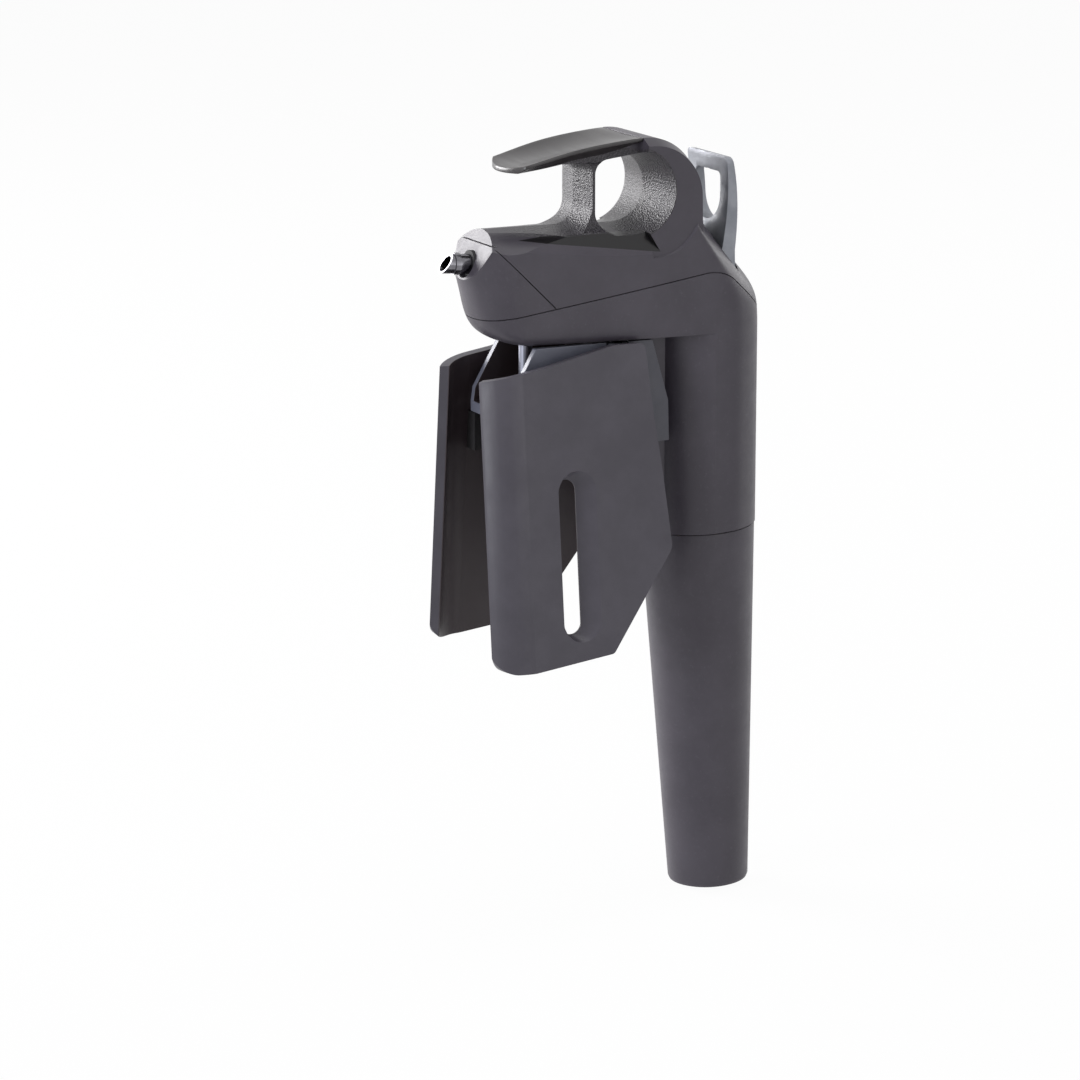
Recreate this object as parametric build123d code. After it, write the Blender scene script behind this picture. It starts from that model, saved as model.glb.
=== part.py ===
from build123d import *
import os
from math import cos, exp, log, radians, sin

# Wine preservation dispenser that sits on a bottle's neck.  Millimetres, +Z up.
# Origin: on the needle's axis, level with the rim of the bottle's mouth.
# The spout points to -Y, the gas tube stands at +Y, and X = 0 is the plane of symmetry.

# ---- driving dimensions ----------------------------------------------------------------
SHELL = 2.0              # wall of the mouldings
SEAM = 0.3               # open line between two mouldings
RUN = 0.08               # radial clearance of a running fit
DRAFT = 8.5              # draft of every surface inside the handle, degrees

# body tube and capsule cup
TUBE_Y = 50.8            # tube axis behind the needle
TUBE_R = 15.5
TUBE_FOOT_Z = -33.4      # joint between the tube and the cup
CUP_TILT = 2.5           # the cup leans back, so that its rear line is upright
CUP_LENGTH = 100.2
CUP_MOUTH_R = 15.3
CUP_FOOT_R = 10.9
CAPSULE_R = 8.9
CAPSULE_TOP = -9.0       # below the cup's mouth
CAPSULE_FOOT = -98.0

THREAD_R = 12.3          # skirt of the regulator inside the cup's insert
PISTON_R = 7.4
REGULATOR_TOP = 44.4     # above the cup's mouth

# head
HEAD_FOOT_Z = 20.2
HEAD_SECTIONS = [0, 0.7, 2.0, 4.2, 7.8, 13.0, 18.0, 23.0, 28.0, 32.8]   # heights above the head's foot
ROOM_SECTIONS = [SHELL, 4.2, 7.8, 13.0, 18.0, 24.8]     # the same for the hollow inside the head
PROW_Y = -3.0            # where the elliptical prow meets the sides
PROW_REACH = 10.8        # how far the prow stands out at the head's foot, before it is rounded
PROW_LEAN = 0.27         # forward lean of the prow per millimetre of height
PROW_ROUND = 8.0
PROW_BLUNT = 0.87        # 1 is an ellipse, less is blunter
SIDE_HALF = 12.4
SIDE_ROUND = 3.2
SHOULDER_Z = 29.5        # where the round back starts to slope forward
SHOULDER_SOFT = 2.2      # how softly it starts
SHOULDER_TOP = (44.0, 53.0)
CREST_Z = 49.7           # ridge of the roof behind the spout
CAP_SEAM_Z = 46.6
SEAM_PEAK = (50.0, 37.1) # corner of the seam round the head (Y, Z), before it is rounded
SEAM_RISE = 0.155        # its slope along the sides
SEAM_FALL = 0.86         # its slope down the back
SEAM_ROUND = 12.0

# handle
RING_CENTRE = (29.0, 57.0)
RING_R = 15.2
RING_HALF = 14.6         # half width of the loop beside the finger hole
CREST_HALF = 11.4        # half width of the loop at its rim
HOLE_CENTRE = (24.7, 58.5)
HOLE_R = 9.3
UNDERSIDE_Z = 64.9       # ridge under the palm bar
POST_FRONT, POST_BACK, POST_HALF = 13.6, 17.0, 8.8
CORE_HALF = 9.0          # the bar under the palm pad
PAD_END_Y = 28.2
# sections of the palm pad: (Y, height of the rim, depth of the dish, half width)
PAD_LINE = [(-9.0, 65.6, 0.3, 9.6), (-4.6, 66.7, 0.7, 9.8), (2.0, 68.4, 1.5, 10.4), (9.0, 70.0, 1.9, 10.8),
            (16.0, 71.1, 1.8, 11.1), (22.5, 71.8, 1.2, 11.3), (PAD_END_Y, 72.15, 0.2, CREST_HALF)]
PAD_EDGE = 1.3
PAD_FRONT_Y = -7.5
PAD_FRONT_R = 18.0       # plan radius of the pad's front edge

# spout
SPOUT_R = 2.9
SPOUT_BORE_R = 2.0
SPOUT_NECK_R = 2.6       # on both sides of the land
SPOUT_LAND = (2.7, 4.2)  # round land for a sleeve, in front of the nose
SPOUT_TILT = 5.0
SPOUT_AT = (-16.6, 41.05)
SPOUT_TIP_Y = -24.9

# needle and wine path
NEEDLE_R = 1.0
NEEDLE_TIP_Z = -50.0
HUB_SLEEVE_R = 1.8
HUB_THREAD_R = 3.0
HUB_TOP_Z = 30.0
MANIFOLD = ((-6.0, 6.0), (-10.0, 6.0), (24.0, 44.5))

# slide between the head and the carriage
RAIL_HALF, RAIL_Y = 5.0, (29.2, 33.0)
STEM_HALF = 2.3
WEB_Y = (19.0, 27.0)     # upright wall of the carriage
WEB_HALF = 8.0
SLIDE_GAP = 0.2
SCREW_R = 1.5
SCREW_X, SCREW_Y = 7.6, 12.5   # screws through the floor of the head

# clamps
NECK_R = 14.75
PLATE_X = 18.6           # outer face of a plate, level with the bottle's rim
PLATE_LEAN = 5.9         # outward lean of a plate towards its foot, degrees
PLATE_T = 2.6
CURL_R = 12.0            # inward curl of a plate's front edge
CURL_Y = -9.0
HINGE_X, HINGE_Y = 11.0, 21.0
HINGE_PIN_R = 1.5
KNUCKLE_R = 2.6
LUG_Z = [(-6.5, -2.5), (5.2, 8.6), (15.4, 19.4)]       # carriage lugs on the hinge pins
KNUCKLE_Z = [(-2.3, 5.0), (11.4, 15.2)]                # clamp knuckles between them
CARRIAGE_SCREW_Z = [7.0, 14.5]
HOUSING_TOP = 19.6
WALL_X = (9.4, 11.4)                                   # side walls of the guide housing

# trigger
TRIGGER_PIVOT = (54.0, 33.0)
TRIGGER_HALF = 11.0
TRIGGER_PIN_HALF = 11.7
WINDOW_HALF = 6.6        # round-bottomed window between the trigger's arms
WINDOW_Z = (54.7, 61.2)  # centre of its round end, and its top


# ---- small helpers ---------------------------------------------------------------------
def side_prism(points, half, start=0.0):
    """A (Y, Z) outline stretched along X from start to half on both sides of the plane X = 0."""
    outline = make_face(Polyline(*points, close=True))
    return both_sides(Pos(start, 0, 0) * extrude(Plane.YZ * outline, half - start))


def both_sides(solid):
    return solid + mirror(solid, Plane.YZ)


def block(x, y, z):
    """A box from three (low, high) pairs."""
    middle = Pos((x[0] + x[1]) / 2, (y[0] + y[1]) / 2, (z[0] + z[1]) / 2)
    return middle * Box(x[1] - x[0], y[1] - y[0], z[1] - z[0])


def rod(radius, z, at=(0, 0)):
    """An upright cylinder from z[0] to z[1]."""
    return Pos(at[0], at[1], (z[0] + z[1]) / 2) * Cylinder(radius, z[1] - z[0])


def ring(outer, inner, z, at=(0, 0)):
    return rod(outer, z, at) - rod(inner, z, at)


def coil(radius, wire, pitch, height):
    """A compression spring standing on Z = 0."""
    helix = Helix(pitch, height - wire, radius)
    start = Plane(origin=helix @ 0, z_dir=helix % 0)
    return Pos(0, 0, wire / 2) * sweep(start * Circle(wire / 2), path=helix, is_frenet=True)


def largest(shape):
    return max(shape.solids(), key=lambda s: s.volume)


def whole(half):
    """One closed solid from the right half of a symmetrical moulding."""
    return both_sides(largest(half))


def right_half():
    """Room on the +X side of the plane of symmetry."""
    return block((0, 40), (-60, 90), (-90, 110))


# ---- head envelope ---------------------------------------------------------------------
def rounding(height, radius):
    """How far a rounded bottom edge stands back at a height above the bottom."""
    gap = max(radius - height, 0.0)
    return radius - (radius**2 - gap**2) ** 0.5


def shoulder_share(z):
    """0 on the upright tube, growing to 1 where the slope meets the handle."""
    def soft(height):
        return log(1 + exp((height - SHOULDER_Z) / SHOULDER_SOFT))
    return (soft(z) - soft(HEAD_FOOT_Z)) / (soft(SHOULDER_TOP[1]) - soft(HEAD_FOOT_Z))


def plan_points(z, inset):
    """Right half of the head seen from above at height z: elliptical prow, flaring side, round back."""
    height = z - HEAD_FOOT_Z
    share = shoulder_share(z)
    half = SIDE_HALF - rounding(height, SIDE_ROUND) - inset
    reach = PROW_REACH + PROW_LEAN * height - rounding(height, PROW_ROUND) - inset
    back = TUBE_R - 0.2 * share - inset
    depth = TUBE_R - 9.5 * share - inset
    back_y = TUBE_Y + TUBE_R - inset - (TUBE_Y + TUBE_R - SHOULDER_TOP[0]) * share - depth
    prow = [(half * sin(radians(t)) ** PROW_BLUNT, PROW_Y - reach * cos(radians(t)) ** PROW_BLUNT)
            for t in (0, 22, 45, 68, 90)]
    flare = [(half + (back - half) * (1 - (1 - u) ** 1.7), PROW_Y + (back_y - PROW_Y) * u)
             for u in (0.25, 0.5, 0.75)]
    rear = [(back * cos(radians(t)), back_y + depth * sin(radians(t))) for t in (0, 22.5, 45, 67.5, 90)]
    return prow + flare + rear


def half_outline(z, inset):
    """Right half of the head's outline, reaching a little past the plane X = 0."""
    points = plan_points(z, inset)
    spans = len(points) - 1
    ends = [Vector(spans * points[1][0], 0, 0), Vector(-spans * points[-2][0], 0, 0)]
    curve = Edge.make_spline([Vector(x, y, z) for x, y in points], tangents=ends,
                             parameters=[n / spans for n in range(spans + 1)], scale=False)
    past = Vector(-0.5, 0, 0)
    corners = [curve @ 1, (curve @ 1) + past, (curve @ 0) + past, curve @ 0]
    return Face(Wire([curve] + [Edge.make_line(a, b) for a, b in zip(corners, corners[1:])]))


def head_half(inset=0.0, heights=HEAD_SECTIONS):
    """Right half of the head's smooth outer form, or of its hollow when inset is the wall."""
    return loft([half_outline(HEAD_FOOT_Z + height, inset) for height in heights]) & right_half()


def head_envelope(inset=0.0):
    return both_sides(head_half(inset))


def above_seam(gap=0.0):
    """Everything above the seam round the head, moved up by gap."""
    y, z = SEAM_PEAK[0], SEAM_PEAK[1] + gap
    line = FilletPolyline((-40, z - SEAM_RISE * (y + 40)), (y, z), (90, z - SEAM_FALL * (90 - y)),
                          radius=SEAM_ROUND)
    rest = Polyline(line @ 1, (90, 100), (-40, 100), line @ 0)
    return both_sides(extrude(Plane.YZ * make_face(Wire([*line.edges(), *rest.edges()])), 30))


# ---- handle ----------------------------------------------------------------------------
def drafted_cut(outline, reach=20.0):
    """A (Y, Z) opening through the handle that widens from the parting plane X = 0 to both sides."""
    return both_sides(extrude(Plane.YZ * outline, reach, taper=-DRAFT))


def front_opening():
    """Space between the roof of the nose and the palm bar, in front of the post."""
    line = FilletPolyline((-40, CREST_Z + 0.4), (POST_FRONT, CREST_Z - 0.1), (POST_FRONT, UNDERSIDE_Z + 0.2),
                          (-40, UNDERSIDE_Z), radius=(5.5, 1.5))
    return make_face(Wire([*line.edges(), Edge.make_line(line @ 1, line @ 0)]))


def finger_hole():
    y, z = HOLE_CENTRE
    low = (y, z - HOLE_R)
    high = (y + HOLE_R * cos(radians(62)), z + HOLE_R * sin(radians(62)))
    back = ThreePointArc(low, (y + HOLE_R, z), high)
    front = FilletPolyline(high, (POST_BACK, UNDERSIDE_Z + 0.4), (POST_BACK, low[1]), low,
                           radius=(2.5, 4.0))
    return make_face(Wire([*back.edges(), *front.edges()]))


def post_sides():
    """Room beside the post, which flares into the roof and the palm bar."""
    foot, top, flare = CREST_Z - 1.6, 66.6, 4.5
    line = FilletPolyline((30, foot), (POST_HALF, foot), (POST_HALF, top), (30, top), radius=(flare, 1.5))
    side = make_face(Wire([*line.edges(), Edge.make_line(line @ 1, line @ 0)]))
    return both_sides(Pos(0, 24, 0) * extrude(Plane.XZ * side, 18))


def palm_bar():
    """Bar under the palm pad."""
    line = [(y, z - PAD_EDGE - dish + 0.4) for y, z, dish, half in PAD_LINE[2:]]
    return side_prism([(line[0][0], 58.0)] + line + [(PAD_END_Y + 1, 66.0), (PAD_END_Y + 1, 58.0)], CORE_HALF)


def loop_outline(x, height, reach):
    """Outline of the loop at X = x, whose rounded back corner is height tall and reach deep."""
    y, z = RING_CENTRE
    top, back = (y, z + height), (y + reach, z)
    arc = ThreePointArc(top, (y + reach * sin(radians(45)), z + height * cos(radians(45))), back)
    rest = Polyline(back, (y + RING_R, 42), (PAD_END_Y, 42), (PAD_END_Y, top[1]), top)
    return Pos(x, 0, 0) * (Plane.YZ * make_face(Wire([*arc.edges(), *rest.edges()])))


def ring_block():
    """Outer form of the loop behind the finger hole, with slanting side faces."""
    rim = loop_outline(CREST_HALF, RING_R, RING_R)
    side = loop_outline(RING_HALF, RING_R - 1.9, RING_R - 0.3)
    middle = extrude(loop_outline(0.0, RING_R, RING_R), CREST_HALF)
    return both_sides(middle + loft([rim, side], ruled=True))


def side_facets():
    """Long slanted facet under each side of the finger hole."""
    lower_front = Vector(10.2, -13.8, 48.4)
    upper_back = Vector(12.4, 30.0, 47.6)
    lower_back = Vector(15.25, 31.0, 41.9)
    across = (upper_back - lower_front).cross(lower_back - lower_front)
    plane = Plane(origin=lower_front, z_dir=across if across.X > 0 else across * -1)
    facet = extrude(plane * Rectangle(200, 200), 30)
    facet = facet & side_prism([(-20, 70), (28.4, 70), (28.4, 48.2), (33.4, 40), (-20, 40)], 30)
    return both_sides(facet & block((5, 40), (-30, 60), (30, 50.3)))


def ledge_outline(x, out):
    """Room over the crescent ledge at X = x, grown by out past the ledge's curved edge."""
    low, back = (29.5, 41.6 - out), (44.4 + out, 57.5)
    curve = Spline(low, (37.5 + 0.5 * out, 43.8 - 0.9 * out), (42.6 + 0.8 * out, 49.6 - 0.6 * out), back,
                   tangents=[(1, 0), (0, 1)])
    rest = Polyline(back, (back[0], 70), (28.4, 70), (28.4, 48.2), low)
    return Pos(x, 0, 0) * (Plane.YZ * make_face(Wire([*curve.edges(), *rest.edges()])))


def ring_ledge():
    """Crescent ledge on each side of the loop, outside its own side face."""
    return both_sides(loft([ledge_outline(RING_HALF, 0.0), ledge_outline(RING_HALF + 4, 2.3)], ruled=True))


def roof_crown():
    """Room above the rounded front of the roof, which grows flatter towards the post."""
    def section(y, radius, half=12.5):
        low = CREST_Z + 0.05 - radius + (radius**2 - half**2) ** 0.5
        arc = ThreePointArc((-half, low), (0, CREST_Z + 0.05), (half, low))
        rest = Polyline((half, low), (half, 54), (-half, 54), (-half, low))
        face = make_face(Wire([*arc.edges(), *rest.edges()]))
        return Plane(origin=(0, y, 0), x_dir=(1, 0, 0), z_dir=(0, -1, 0)) * face
    return loft([section(6.0, 36.0), section(-18.0, 13.7)], ruled=True)


def nose_facet(back=0.0):
    """Everything in front of the flat, leaning front of the nose."""
    return side_prism([(-9.7 + back, 55), (-21.9 + back, 30), (-50, 30), (-50, 55)], 30)


def hollow():
    """Room inside the head, closed above by the roof of the nose."""
    half = head_half(SHELL, ROOM_SECTIONS)
    thick_side = block((10.6, 20), (-40, 45), (39.0, 50))
    return both_sides(half - thick_side - nose_facet(SHELL + 0.3))


def seam_grooves():
    """Fine open lines round the outside where the mouldings of the head meet."""
    half = SEAM / 2
    round_head = above_seam(-half) - above_seam(half)
    diagonal = side_prism([(-14.1, CAP_SEAM_Z - half), (-14.1, CAP_SEAM_Z + half),
                           (12.4 + SEAM, 20), (12.4 - SEAM, 20)], 30)
    skin = (round_head + (diagonal & above_seam())) - head_envelope(0.7)
    return skin + block((-20, 20), (-40, -12.7), (CAP_SEAM_Z - half, CAP_SEAM_Z + half))


def nose_region():
    return side_prism([(-40, CAP_SEAM_Z), (-14.1, CAP_SEAM_Z), (12.4, 20), (-40, 20)], 30)


def head_form():
    """Right half of the head with the handle, solid, before it is split and hollowed."""
    post = block((-11.2, 11.2), (5, 24), (46, 66.2))
    form = (head_half() + ring_block() + palm_bar() + post) & right_half()
    for cut in (side_facets(), ring_ledge(), drafted_cut(front_opening()), drafted_cut(finger_hole()),
                post_sides(), nose_facet(), roof_crown()):
        form = form - cut
    return form


def spout_frame():
    """Frame on the spout's axis, z outward."""
    tilt = radians(SPOUT_TILT)
    return Plane(origin=(0, *SPOUT_AT), x_dir=(1, 0, 0), z_dir=(0, -cos(tilt), sin(tilt))).location


def spout_rod(radius, z):
    return spout_frame() * rod(radius, z)


def trigger_bosses():
    """Bearing bosses for the trigger's pin, hung from the sides of the handle shell."""
    y, z = TRIGGER_PIVOT
    boss = block((TRIGGER_HALF + 0.2, 13.0), (y - 3, y + 3), (z - 2.6, 40))
    root = block((TRIGGER_HALF + 0.2, 14.4), (y - 3, y + 1), (z + 2.6, 40))
    return (boss & head_envelope(SHELL + 0.15)) + (root & head_envelope(0.8))


def handle_shell(head, room, grooves, pad):
    """Upper half of the head with the handle and the loop."""
    y, z = TRIGGER_PIVOT
    form = (head & above_seam()) - room - grooves - nose_region() - pad
    form = form + trigger_bosses() + rod(2.7, (HEAD_FOOT_Z + SHELL, 46), (SCREW_X, SCREW_Y))
    form = form - rod(SCREW_R, (HEAD_FOOT_Z, 33.5), (SCREW_X, SCREW_Y))
    form = form - block((-1, TRIGGER_HALF + 0.3), (48.9, 56.6), (33.5, 60))
    form = form - Pos(5.65, y, z) * Rot(0, 90, 0) * Cylinder(2.9, TRIGGER_HALF + 0.3)
    form = form - Pos(0, y, z) * Rot(0, 90, 0) * Cylinder(SCREW_R, 2 * TRIGGER_PIN_HALF + 0.2)
    return whole(form)


def nose_cover(head, room, grooves):
    return whole((head & above_seam() & nose_region()) - room - grooves - spout_rod(3.6, (-12, 12)))


def slide_channel():
    """T-shaped room for the slide rail."""
    head = block((-RAIL_HALF - SLIDE_GAP, RAIL_HALF + SLIDE_GAP),
                 (RAIL_Y[0] - SLIDE_GAP, RAIL_Y[1] + SLIDE_GAP), (-60, 60))
    stem = block((-STEM_HALF - SLIDE_GAP, STEM_HALF + SLIDE_GAP), (WEB_Y[1] - 1, RAIL_Y[0]), (-60, 60))
    return head + stem


def tube_column():
    """Solid body tube, cut off square to the leaning cup."""
    half = extrude(half_outline(HEAD_FOOT_Z, 0.0), TUBE_FOOT_Z - HEAD_FOOT_Z - 3, dir=(0, 0, 1)) & right_half()
    column = half & rod(TUBE_R + 0.25, (TUBE_FOOT_Z - 3, HEAD_FOOT_Z), (0, TUBE_Y))
    return column - gas_frame() * block((-30, 30), (-30, 30), (-20, 0))


def lower_body(head, room, grooves):
    """Lower half of the head with the body tube and the rib that the slide rail runs in."""
    rib = block((0, 7.5), (WEB_Y[1] + 0.5, 39.0), (TUBE_FOOT_Z + 2, HEAD_FOOT_Z + 1))
    form = (head - above_seam()) - room - grooves + tube_column() + rib
    form = form - rod(TUBE_R - SHELL - 0.1, (TUBE_FOOT_Z - 2, HEAD_FOOT_Z + SHELL + 0.8), (0, TUBE_Y))
    form = form - slide_channel() - rod(HUB_THREAD_R + 0.2, (HEAD_FOOT_Z - 5, 24))
    form = form - rod(2.7, (HEAD_FOOT_Z - 5, HEAD_FOOT_Z + 1.2), (SCREW_X, SCREW_Y))
    return whole(form - rod(SCREW_R + 0.1, (15, 24), (SCREW_X, SCREW_Y)))


def pad_section(y, z, dish, half):
    """Dished cross-section of the palm pad."""
    foot, low, rim = z - PAD_EDGE - dish, half - 2.2, z - 0.9
    top = Edge.make_three_point_arc(Vector(-half, y, z), Vector(0, y, z - dish), Vector(half, y, z))
    corners = [Vector(half, y, z), Vector(half, y, rim), Vector(low, y, foot), Vector(-low, y, foot),
               Vector(-half, y, rim), Vector(-half, y, z)]
    return Face(Wire([top] + [Edge.make_line(a, b) for a, b in zip(corners, corners[1:])]))


def palm_pad():
    """Dished pad for the palm, with a curved front edge."""
    form = loft([pad_section(*station) for station in PAD_LINE])
    front = Pos(0, PAD_FRONT_Y + PAD_FRONT_R, 40) * extrude(Circle(PAD_FRONT_R), 50)
    return form & (front + block((-20, 20), (0, PAD_END_Y + 10), (40, 90)))


# ---- wine path -------------------------------------------------------------------------
def spout_tube():
    """Pouring tube with a round land for a sleeve and a slanting mouth."""
    tube = spout_rod(SPOUT_NECK_R, (-9, 12)) + spout_rod(SPOUT_R, SPOUT_LAND)
    lip_y, lip_z = SPOUT_TIP_Y, SPOUT_AT[1] - SPOUT_R * 0.75
    beyond = [(lip_y, lip_z - 0.3), (lip_y + 5.6, lip_z + 7.5), (lip_y - 20, lip_z + 7.5),
              (lip_y - 20, lip_z - 0.3)]
    below = [(lip_y, lip_z - 0.3), (lip_y - 20, lip_z - 0.3), (lip_y - 20, lip_z - 9), (lip_y - 7, lip_z - 9)]
    return largest(tube - spout_rod(SPOUT_BORE_R, (-10, 13)) - side_prism(beyond, 10) - side_prism(below, 10))


def spout_seal():
    return spout_rod(3.6, (-2.6, -0.4)) - spout_rod(SPOUT_NECK_R, (-4, 2))


def wine_manifold():
    """Block that joins the needle, the gas line and the spout."""
    form = block(*MANIFOLD) - nose_facet(SHELL + 0.6)
    form = form - spout_rod(SPOUT_NECK_R, (-9, 20)) - rod(HUB_THREAD_R, (20, HUB_TOP_Z))
    form = form - rod(1.2, (HUB_TOP_Z - 1, SPOUT_AT[1] - 2)) - spout_rod(1.6, (-17, 5))
    return form - Pos(2.0, 3.0, 36.0) * Rot(90, 0, 0) * Cylinder(1.3, 7)


def needle():
    tube = rod(NEEDLE_R, (NEEDLE_TIP_Z, HUB_TOP_Z)) - rod(0.6, (NEEDLE_TIP_Z + 4, HUB_TOP_Z + 1))
    point = side_prism([(-2, NEEDLE_TIP_Z + 4.5), (NEEDLE_R, NEEDLE_TIP_Z), (-2, NEEDLE_TIP_Z)], 3)
    port = Pos(0, NEEDLE_R, NEEDLE_TIP_Z + 7) * Box(0.6, 1.6, 3.0)
    return tube - point - port


def needle_hub():
    form = rod(HUB_SLEEVE_R, (10.5, 20.6)) + rod(HUB_THREAD_R, (20.6, HUB_TOP_Z))
    return form - rod(NEEDLE_R, (0, 40))


def hub_seal():
    return ring(4.6, HUB_THREAD_R, (HEAD_FOOT_Z + SHELL, MANIFOLD[2][0]))


def gas_tube():
    """Line from the regulator past the slide rail to the manifold."""
    path = Spline((2, 1.0, 36), (2, 8, 36), (7.6, 24, 35), (7.9, 34, 33), (6.2, 40.5, 28),
                  tangents=[(0, 1, 0), (-0.4, 0.5, -0.8)])
    start = Plane(origin=path @ 0, z_dir=path % 0)
    return sweep(start * Circle(1.3), path=path) - sweep(start * Circle(0.7), path=path)


# ---- gas regulator and capsule ---------------------------------------------------------
def gas_frame():
    """Frame on the leaning axis of the cup, level with the cup's mouth."""
    return Location((0, TUBE_Y, TUBE_FOOT_Z), (CUP_TILT, 0, 0))


def turned(points):
    """A body of revolution about the gas axis from (radius, height) points."""
    return gas_frame() * revolve(Plane.XZ * make_face(Polyline(*points, close=True)), Axis.Z)


def regulator_body():
    """Turned housing: threaded skirt, flange, cylinder for the piston and valve top."""
    top = REGULATOR_TOP
    return turned([(1.2, -7), (4.5, -7), (4.5, -2), (9.4, -2), (9.4, -12), (THREAD_R, -12), (THREAD_R, 0.5),
                   (13.2, 0.5), (13.2, 4.0), (11.0, 4.0), (11.0, top - 2), (6.0, top), (2.2, top),
                   (2.2, top - 6), (7.5, top - 6), (7.5, 6), (1.2, 6)])


def regulator_piston():
    return turned([(0, 12), (PISTON_R, 12), (PISTON_R, 16), (5.0, 16), (5.0, 14), (2.0, 14), (2.0, 20), (0, 20)])


def regulator_spring():
    return gas_frame() * Pos(0, 0, 16) * coil(6.2, 1.2, 3.4, REGULATOR_TOP - 22.2)


def piercing_pin():
    return turned([(0, -13), (1.2, -10.5), (1.2, 6), (2.4, 6), (2.4, 7.5), (0, 7.5)])


def capsule_seal():
    return gas_frame() * ring(4.0, 1.2, (-9.0, -7.0))


def valve_seal():
    return gas_frame() * ring(3.9, 1.6, (REGULATOR_TOP, REGULATOR_TOP + 1.4))


def valve_stem():
    top = REGULATOR_TOP
    return turned([(0, top - 4), (1.6, top - 4), (1.6, top + 11), (3.4, top + 11), (3.4, top + 12.4),
                   (1.6, top + 12.4), (1.6, top + 15.6), (0.8, top + 16.4), (0, top + 16.4)])


def valve_spring():
    return gas_frame() * Pos(0, 0, REGULATOR_TOP + 1.4) * coil(2.8, 0.7, 2.1, 9.6)


def argon_capsule():
    """Pierced gas capsule: thin steel shell with a round foot, a shoulder and a narrow neck."""
    r, top, foot = CAPSULE_R, CAPSULE_TOP, CAPSULE_FOOT
    foot_curve = ThreePointArc((0, foot), (r * 0.72, foot + r * 0.32), (r, foot + r))
    side = Line((r, foot + r), (r, top - 18))
    shoulder = Spline((r, top - 18), (r * 0.8, top - 11), (4.3, top - 7), tangents=[(0, 1), (-0.3, 1)])
    neck = Polyline((4.3, top - 7), (4.3, top), (0, top), (0, foot))
    face = make_face(Wire([*foot_curve.edges(), *side.edges(), *shoulder.edges(), *neck.edges()]))
    inner = r - 1.1
    room = [(0, foot + 1.3), (4.5, foot + 2.6), (6.6, foot + 5), (inner, foot + r), (inner, top - 18.5),
            (6.9, top - 13.5), (4.8, top - 10), (1.3, top - 8.4), (1.3, top + 1), (0, top + 1)]
    return gas_frame() * revolve(Plane.XZ * face, Axis.Z) - turned(room)


def cup():
    """Long tapering cup that holds the capsule and screws to the regulator."""
    foot, wall = -CUP_LENGTH, 1.7
    outer = [(0, foot), (CUP_FOOT_R - 1.2, foot), (CUP_FOOT_R - 0.35, foot + 0.35), (CUP_FOOT_R, foot + 1.2),
             (CUP_MOUTH_R, -SEAM)]
    inner = [(13.6, -SEAM), (13.6, -14.0), (CUP_MOUTH_R - wall - 1.2, -16.0), (CUP_FOOT_R - wall, foot + 6.2),
             (3.0, CAPSULE_FOOT), (0, CAPSULE_FOOT)]
    return turned(outer + inner)


def cup_insert():
    return gas_frame() * ring(13.6, THREAD_R + RUN, (-13.5, -1.0))


# ---- trigger ---------------------------------------------------------------------------
def trigger():
    """Stirrup lever behind the loop, with a web in the head and the toe that pushes the valve."""
    y, z = TRIGGER_PIVOT
    top, window_top = 65.6, WINDOW_Z[1]
    front = Spline((52.8, top), (53.3, 58.5), (53.0, 51.0), (51.7, 41.5))
    back = Spline((55.5, 41.0), (56.1, 49.0), (56.0, 56.0), (54.6, top - 0.2))
    foot = Polyline(front @ 1, (y - 2.7, z), (y, z - 2.6), (y + 2.5, z), (y + 1.6, 37.0), back @ 0)
    side = make_face(Wire([*front.edges(), *foot.edges(), *back.edges(), Edge.make_line(back @ 1, front @ 0)]))
    slab = both_sides(extrude(Plane.YZ * side, TRIGGER_HALF))
    opening = block((-WINDOW_HALF, WINDOW_HALF), (40, 70), WINDOW_Z)
    corners = opening.edges().filter_by(Axis.Y).group_by(Axis.Z)[-1]
    window = fillet(corners, 1.4) + Pos(0, 55, WINDOW_Z[0]) * Rot(90, 0, 0) * Cylinder(WINDOW_HALF, 30)
    toe = side_prism([(y, z - 2.6), (y, z + 3.4), (49.6, 31.0), (46.2, 29.2), (46.2, 27.6), (50.0, 27.6)], 3.0)
    form = slab - window
    shoulders = [e for e in form.edges().filter_by(Axis.Y, tolerance=20) if e.center().Z > window_top + 3
                 and abs(abs(e.center().X) - TRIGGER_HALF) < 0.1]
    pin_bore = Pos(0, y, z) * Rot(0, 90, 0) * Cylinder(SCREW_R + RUN, 40)
    return largest(fillet(shoulders, 1.6) + toe - pin_bore)


def trigger_pin():
    y, z = TRIGGER_PIVOT
    return Pos(0, y, z) * Rot(0, 90, 0) * Cylinder(SCREW_R, 2 * TRIGGER_PIN_HALF)


def body_screws():
    """Two screws from below that hold the halves of the head together."""
    spots = [(-SCREW_X, SCREW_Y), (SCREW_X, SCREW_Y)]
    return [rod(2.6, (HEAD_FOOT_Z + 0.2, HEAD_FOOT_Z + 1.2), spot) + rod(SCREW_R, (HEAD_FOOT_Z + 1.2, 33), spot)
            for spot in spots]


# ---- carriage --------------------------------------------------------------------------
def carriage():
    """Upright web with the hinge lugs and two cheeks that flank the slide."""
    web = block((-WEB_HALF, WEB_HALF), WEB_Y, (-7.7, 19.5))
    cheek = side_prism([(24, -7.7), (35.9, -7.7), (35.6, 3.0), (30.8, 19.5), (24, 19.5)], 12.0, WEB_HALF)
    form = web + cheek
    for low, high in LUG_Z:
        lug = rod(KNUCKLE_R, (low, high), (HINGE_X, HINGE_Y)) + block((7, HINGE_X), (19, 23.4), (low, high))
        form = form + both_sides(lug - rod(HINGE_PIN_R, (low - 1, high + 1), (HINGE_X, HINGE_Y)))
    for z in CARRIAGE_SCREW_Z:
        form = form - Pos(0, 23, z) * Rot(90, 0, 0) * Cylinder(SCREW_R + 0.1, 12)
    return form


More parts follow.
